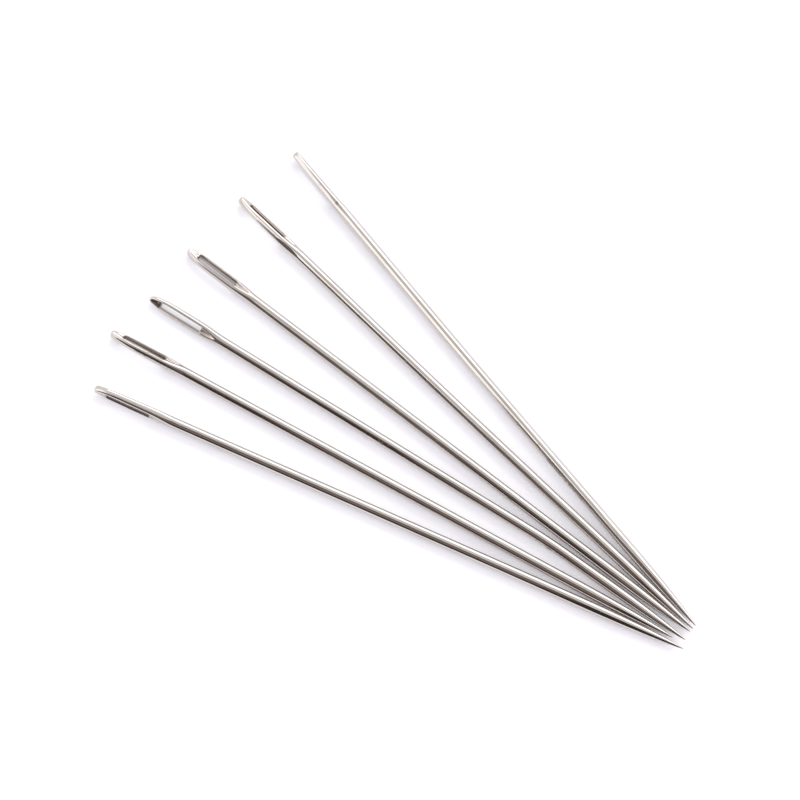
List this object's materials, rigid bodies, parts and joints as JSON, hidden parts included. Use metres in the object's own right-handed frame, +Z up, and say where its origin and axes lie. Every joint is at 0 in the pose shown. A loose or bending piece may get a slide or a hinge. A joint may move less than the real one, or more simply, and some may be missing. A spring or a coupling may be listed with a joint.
{
  "type": "bodkin set",
  "caption": "Polished steel bodkins laid in a fan with their points together; each has a rounded crown, a long gutter eye for thread, a round shaft and a sharp taper.",
  "frame": {"origin": "on the table, under the middle of the fanned set", "axes": "+X towards the points, along the middle of the fan; +Y towards the last needle; +Z up"},
  "size_m": [0.0608, 0.0308, 0.0013],
  "materials": {
    "plated_steel": "polished nickel plate on hardened steel wire"
  },
  "bodies": {
    "bodkin_1": {"bodkin_1_head": "plated_steel", "bodkin_1_shaft": "plated_steel"},
    "bodkin_2": {"bodkin_2_head": "plated_steel", "bodkin_2_shaft": "plated_steel"},
    "bodkin_3": {"bodkin_3_head": "plated_steel", "bodkin_3_shaft": "plated_steel"},
    "bodkin_4": {"bodkin_4_head": "plated_steel", "bodkin_4_shaft": "plated_steel"},
    "bodkin_5": {"bodkin_5_head": "plated_steel", "bodkin_5_shaft": "plated_steel"},
    "bodkin_6": {"bodkin_6_head": "plated_steel", "bodkin_6_shaft": "plated_steel"}
  },
  "joints": [
    {"name": "bodkin_1_lift", "type": "slide", "parent": "bodkin_4", "child": "bodkin_1", "axis": [0, 0, 1], "range_m": [0, 0.04]},
    {"name": "bodkin_2_lift", "type": "slide", "parent": "bodkin_4", "child": "bodkin_2", "axis": [0, 0, 1], "range_m": [0, 0.04]},
    {"name": "bodkin_3_lift", "type": "slide", "parent": "bodkin_4", "child": "bodkin_3", "axis": [0, 0, 1], "range_m": [0, 0.04]},
    {"name": "bodkin_5_lift", "type": "slide", "parent": "bodkin_4", "child": "bodkin_5", "axis": [0, 0, 1], "range_m": [0, 0.04]},
    {"name": "bodkin_6_lift", "type": "slide", "parent": "bodkin_4", "child": "bodkin_6", "axis": [0, 0, 1], "range_m": [0, 0.04]}
  ]
}
